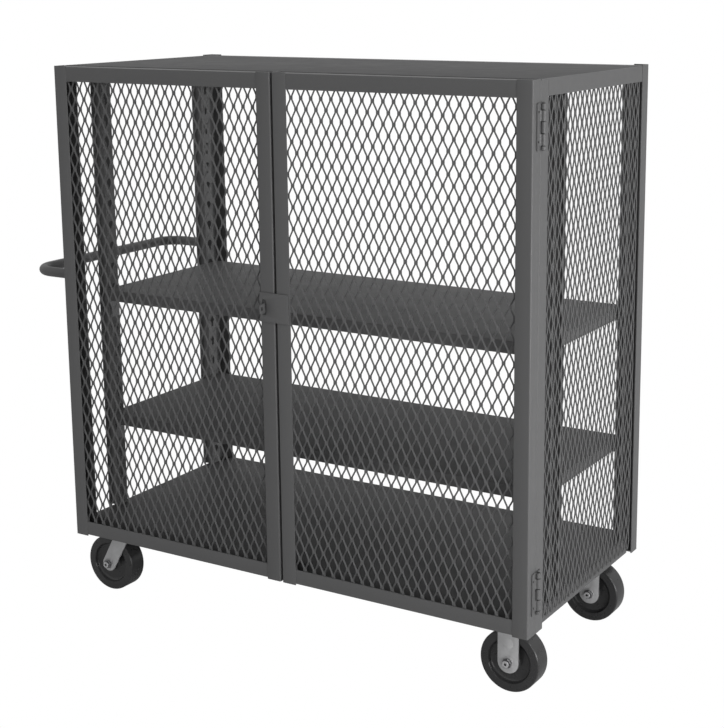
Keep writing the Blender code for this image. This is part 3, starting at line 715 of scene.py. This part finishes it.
# ---- hasp and staple -----------------------------------------------------------------------------------------
bm = bmesh.new()
pts = [(636.0, 661.0), (720.0, 661.0), (720.0, 733.6), (636.0, 733.6)]
slot = rounded([(642.5, 677.5), (655.0, 677.5), (655.0, 716.6), (642.5, 716.6)], [5.0] * 4, 6)
plate(bm, [rounded(pts, [1.5] * 4, 4), slot], lambda u, v, q: (u, -3.3 + q, v), 3.0, bevel=0.5)
finish_mesh("hasp_strap", bm, COAT, "right_door", ["hasp_plate"])
bm = bmesh.new()
pts = [(-GAP, 683.0), (-GAP, 707.0), (-23.3, 707.0), (-23.3, 683.0)]
plate(bm, [rounded(pts, [0.4, 0.4, 5.0, 5.0], 6), arc(-14.5, 695.0, 4.9, 0, 348, 30)],
      lambda u, v, q: (649.0 + q, u, v), 3.0, bevel=0.4)
# a dark pad round its root: painted shade seen through the hasp's slot
bar(bm, (643.0, 655.5), (-0.28, -0.06), (678.0, 716.0), 0, 1, 1)
finish_mesh("padlock_tab", bm, [COAT, COAT_SHADE], "left_door", ["staple_tab"])

# ---- push handle -----------------------------------------------------------------------------------------------
out, r, rb, zh = 165.0, 13.35, 60.0, 704.0
ya, yb = 62.0, 631.0
pts = [(-GAP, ya, zh), (-20, ya, zh), (-60, ya, zh)]
pts += [(-(out - rb) - rb * math.sin(a), ya + rb - rb * math.cos(a), zh)
        for a in (math.radians(d) for d in range(0, 91, 6))]
pts += [(-out, (ya + yb) / 2, zh)]
pts += [(-(out - rb) - rb * math.cos(a), yb - rb + rb * math.sin(a), zh)
        for a in (math.radians(d) for d in range(0, 91, 6))]
pts += [(-60, yb, zh), (-20, yb, zh), (-GAP, yb, zh)]
bm = bmesh.new()
sweep(bm, pts, r, 40)
finish_mesh("push_bar", bm, COAT, "cabinet", ["push_handle"], smooth=50)

# ---- casters ---------------------------------------------------------------------------------------------------
AXLE_Z, WHEEL_R, HW = -97.0, 76.2, 25.4
SX, TRAIL, RX = 90.0, 35.0, 1280.0
CY = {"front": 92.5, "rear": 557.5}
FORK_IN, FORK_T = 27.0, 5.0
PLATE_TOP, PLATE_T = 17.0, 6.0


def wheel(where, side, x, y):
    body = f"wheel_{where}_{side}"
    bm = bmesh.new()
    # one side of the section, bore to tread, with a raised rim, a dished web and a hub
    half = [(10.3, HW - 1.0), (17.0, HW - 1.0), (18.6, HW - 2.0), (20.5, HW - 8.0), (23.0, HW - 10.4),
            (27.0, HW - 11.0), (44.0, HW - 11.0), (49.5, HW - 10.4), (52.5, HW - 8.4), (54.2, HW - 4.5),
            (55.2, HW - 0.6), (55.8, HW)]
    half += [(WHEEL_R - 3.4 + 3.4 * math.sin(a), HW - 3.4 + 3.4 * math.cos(a))
             for a in (math.radians(15 * k) for k in range(7))]
    profile = half + [(rr, -a) for rr, a in reversed(half)]
    lathe(bm, profile, (x, y, AXLE_Z), "Y", 96)
    finish_mesh(f"{where}_{side}_moulded_wheel", bm, WHEEL, body, [f"{where}_{side}_wheel"],
                smooth=40)
    bm = bmesh.new()
    lathe(bm, [(6.7, 26.4), (9.4, 26.4), (9.9, 25.9), (9.9, -25.9), (9.4, -26.4), (6.7, -26.4)],
          (x, y, AXLE_Z), "Y", 32)
    finish_mesh(f"{where}_{side}_bearing_bush", bm, BRONZE, body, [f"{where}_{side}_bushing"])


def axle(where, side, x, y, body):
    bm = bmesh.new()
    q = FORK_IN + FORK_T + GAP
    disc(bm, (x, y, AXLE_Z), "Y", 6.3, -q - 1, q + 10.0, 32, 0.8)
    for s in (-1, 1):
        a, b = sorted((s * q, s * (q + 1.6)))
        disc(bm, (x, y, AXLE_Z), "Y", 14.2, a, b, 40, 0.4)
        a, b = sorted((s * (q + 1.6), s * (q + 8.0)))
        hexagon(bm, (x, y, AXLE_Z), 12.6, a, b, mat=2, turn=math.radians(15))
    # hollow stub with a grease hole, on the outer side; its sides take the darker zinc as painted shade, and the
    # hole's floor is near-black grease and painted shade
    lathe(bm, [(3.3, -q - 12.9), (8.3, -q - 12.9), (8.9, -q - 12.2), (8.9, -q - 7.5), (3.3, -q - 7.5)],
          (x, y, AXLE_Z), "Y", 40, 2)
    lathe(bm, [(3.3, -q - 13.4), (7.8, -q - 13.4), (8.4, -q - 12.8), (3.3, -q - 12.8)], (x, y, AXLE_Z), "Y", 40)
    lathe(bm, [(0, -q - 9.5), (3.5, -q - 9.5), (3.5, -q - 8.0), (0, -q - 8.0)], (x, y, AXLE_Z), "Y", 24, 1)
    finish_mesh(f"{where}_{side}_axle_bolt_and_nut", bm, [ZINC_BRIGHT, DARK, ZINC_NUT_SHADE], body,
                [f"{where}_{side}_axle_bolt"])


def plate_bolts(bm, x, y):
    for dx in (-42.0, 42.0):
        for dy in (-36.0, 36.0):
            z = PLATE_TOP - PLATE_T
            disc(bm, (x + dx, y + dy, 0), "Z", 8.6, z - 1.4, z - 0.05, 28, 0.3)
            hexagon(bm, (x + dx, y + dy, 0), 8.2, z - 7.6, z - 1.4, axis="Z", turn=math.radians(20))
            disc(bm, (x + dx, y + dy, 0), "Z", 4.0, z - 11.0, z - 7.6, 20, 0.7)


def boss_leg(bm, loop, y, s, boss):
    """A fork leg with a pressed round boss on its outer face."""
    ya = y + s * FORK_IN
    plate(bm, [loop, arc(boss[2], AXLE_Z, 6.7, 0, 345, 23)], lambda u, v, q: (u, ya + s * q, v), FORK_T,
          bevel=0.7)
    bx, bz = boss[0], boss[1]
    if boss[3]:
        q = s * (FORK_IN + FORK_T)
        prof = [(0, q - s * 0.4), (boss[3], q - s * 0.4), (boss[3] - 1.4, q + s * 0.35), (0, q + s * 0.35)]
        lathe(bm, prof, (bx, y, bz), "Y", 40, 1)


for where, y in CY.items():
    # rigid
    x = RX
    bm = bmesh.new()
    pts = [(x - 57.15, y - 50.5), (x + 57.15, y - 50.5), (x + 57.15, y + 50.5), (x - 57.15, y + 50.5)]
    plate(bm, [rounded(pts, [7.0] * 4, 5)], lambda u, v, q: (u, v, PLATE_TOP - PLATE_T + q), PLATE_T,
          bevel=0.7)
    r = 27.0
    loop = ([(x - r, PLATE_TOP - PLATE_T + 0.5)] + arc(x, AXLE_Z, r, 180, 360, 24)
            + [(x + r, PLATE_TOP - PLATE_T + 0.5)])
    for s in (-1, 1):
        boss_leg(bm, loop, y, s, (x, -50.0, x, 14.5))
        # fold between the leg and the plate
        q = [(y + s * FORK_IN, PLATE_TOP - PLATE_T - 6.0), (y + s * (FORK_IN + FORK_T), PLATE_TOP - PLATE_T - 6.0),
             (y + s * (FORK_IN + FORK_T + 4.5), PLATE_TOP - PLATE_T + 0.2),
             (y + s * (FORK_IN - 4.0), PLATE_TOP - PLATE_T + 0.2)]
        extrude(bm, [(x - r + 0.3, a, b) for a, b in q], (2 * r - 0.6, 0, 0))
    for f in bm.faces:                    # sheared edges, which the plating leaves duller
        f.normal_update()
        if abs(f.normal.x) > 0.55:
            f.material_index = 2
    finish_mesh(f"{where}_right_rigid_fork", bm, [ZINC, ZINC_BOSS_LIT, ZINC_EDGE], "cabinet", [f"{where}_right_fork"])
    bm = bmesh.new()
    plate_bolts(bm, x, y)
    finish_mesh(f"{where}_right_caster_bolts", bm, ZINC_DARK, "cabinet")
    wheel(where, "right", x, y)
    axle(where, "right", x, y, "cabinet")

    # swivel
    x, body = SX, f"swivel_{where}"
    bx = x - TRAIL
    bm = bmesh.new()
    pts = [(x - 57.15, y - 50.5), (x + 57.15, y - 50.5), (x + 57.15, y + 50.5), (x - 57.15, y + 50.5)]
    plate(bm, [rounded(pts, [7.0] * 4, 5)], lambda u, v, q: (u, v, PLATE_TOP - PLATE_T + q), PLATE_T,
          bevel=0.7)
    lathe(bm, [(0, 1.2), (6.5, 1.2), (7.8, 2.4), (7.8, PLATE_TOP - 3.0), (0, PLATE_TOP - 3.0)], (x, y, 0), "Z", 32)
    finish_mesh(f"{where}_left_swivel_plate", bm, ZINC, "cabinet", [f"{where}_left_caster_plate"])
    bm = bmesh.new()
    plate_bolts(bm, x, y)
    finish_mesh(f"{where}_left_caster_bolts", bm, ZINC_DARK, "cabinet")
    bm = bmesh.new()
    top = PLATE_TOP - PLATE_T - GAP
    lathe(bm, [(8.4, top), (34.5, top), (36.6, top - 0.8), (37.6, top - 2.4), (37.8, top - 5.0),
               (36.5, 4.3), (34.0, 4.0), (8.4, 4.0)], (x, y, 0), "Z", 64)
    bar(bm, (x - 27.5, x + 27.5), (y - 31.4, y + 31.4), (3.9, 7.4), 1.2, 2)
    br = 21.0
    loop = ([(x + 37.0, -13.0), (x + 30.0, top - 2.4), (x - 26.0, top - 2.4), (x - 13.0, -15.0)]
            + arc(bx, AXLE_Z, br, 165, 335, 20))
    for s in (-1, 1):
        boss_leg(bm, loop, y, s, (x, -30.0, bx, 0.0))
    finish_mesh(f"{where}_left_swivel_fork", bm, ZINC, body, [f"{where}_left_fork"])
    wheel(where, "left", bx, y)
    axle(where, "left", bx, y, body)

# ---- shelf clips keep their CAD shape ---------------------------------------------------------------------------
for level in ("upper", "lower"):
    for where in ("front", "rear"):
        for side in ("left", "right"):
            o = nodes[f"{level}_clip_{where}_{side}"]
            o.data.materials.clear()
            o.data.materials.append(ZINC_DARK)

# ---- floor and light --------------------------------------------------------------------------------------------
m = bpy.data.materials.new("studio_floor")
m.use_nodes = True
nt = m.node_tree
b = nt.nodes["Principled BSDF"]
b.inputs["Base Color"].default_value = (0.65, 0.65, 0.65, 1)
b.inputs["Roughness"].default_value = 0.9
b.inputs["Specular IOR Level"].default_value = 0.0
path = nt.nodes.new("ShaderNodeLightPath")
glow = nt.nodes.new("ShaderNodeEmission")
pick = nt.nodes.new("ShaderNodeMixShader")
nt.links.new(path.outputs["Is Camera Ray"], pick.inputs[0])
nt.links.new(b.outputs[0], pick.inputs[1])
nt.links.new(glow.outputs[0], pick.inputs[2])
nt.links.new(pick.outputs[0], nt.nodes["Material Output"].inputs["Surface"])
me = bpy.data.meshes.new("studio_floor")
me.from_pydata([(-40, -40, -0.0005), (40, -40, -0.0005), (40, 40, -0.0005), (-40, 40, -0.0005)], [], [(0, 1, 2, 3)])
me.materials.append(m)
floor = bpy.data.objects.new("studio_floor", me)
bpy.context.scene.collection.objects.link(floor)

# a white backdrop, brightest half way up its walls
SKY = ((0.0, 0.365), (0.5, 0.85), (1.0, 0.375))         # sine of the height above the floor, light
world = bpy.data.worlds.new("studio")
world.use_nodes = True
nt = world.node_tree
bg = nt.nodes["Background"]
geo = nt.nodes.new("ShaderNodeTexCoord")
sep = nt.nodes.new("ShaderNodeSeparateXYZ")
nt.links.new(geo.outputs["Generated"], sep.inputs[0])
ramp = nt.nodes.new("ShaderNodeFloatCurve")
pts = ramp.mapping.curves[0].points
pts[0].location, pts[1].location = SKY[0], SKY[-1]
for at in SKY[1:-1]:
    pts.new(*at)
for pt in pts:
    pt.handle_type = "VECTOR"
ramp.mapping.update()
nt.links.new(sep.outputs["Z"], ramp.inputs["Value"])
path = nt.nodes.new("ShaderNodeLightPath")
pick = nt.nodes.new("ShaderNodeMix")
nt.links.new(path.outputs["Is Camera Ray"], pick.inputs[0])
nt.links.new(ramp.outputs["Value"], pick.inputs[2])
pick.inputs[3].default_value = 1.0
nt.links.new(pick.outputs[0], bg.inputs["Strength"])
bg.inputs["Color"].default_value = (1, 1, 1, 1)
bpy.context.scene.world = world


def area(name, at, aim, size, power):
    d = bpy.data.lights.new(name, "AREA")
    d.shape = "RECTANGLE"
    d.size, d.size_y = size
    d.energy = power
    o = bpy.data.objects.new(name, d)
    bpy.context.scene.collection.objects.link(o)
    o.location = at
    o.rotation_mode = "QUATERNION"
    o.rotation_quaternion = (Vector(aim) - Vector(at)).to_track_quat("-Z", "Y")
    return o


area("key_right", (19.9, -2.2, 1.7), (0.0, 0.0, 0.7), (11.0, 8.0), 430.0)
area("key_back_right", (19.3, 4.9, 2.4), (0.0, 0.0, 0.7), (8.0, 8.0), 800.0)
# a low strip that picks out the corners
area("kick_right", (3.6, -1.35, 0.42), (0.76, -0.3, 0.42), (3.0, 0.8), 58.0)
# and a small one high up in front, for the wheels' shoulders
area("spark", (5.93, -2.64, 4.1), (0.0, 0.0, 0.35), (0.8, 0.8), 80.0)
bpy.context.scene.view_settings.view_transform = "Standard"
bpy.context.scene.view_settings.look = "None"
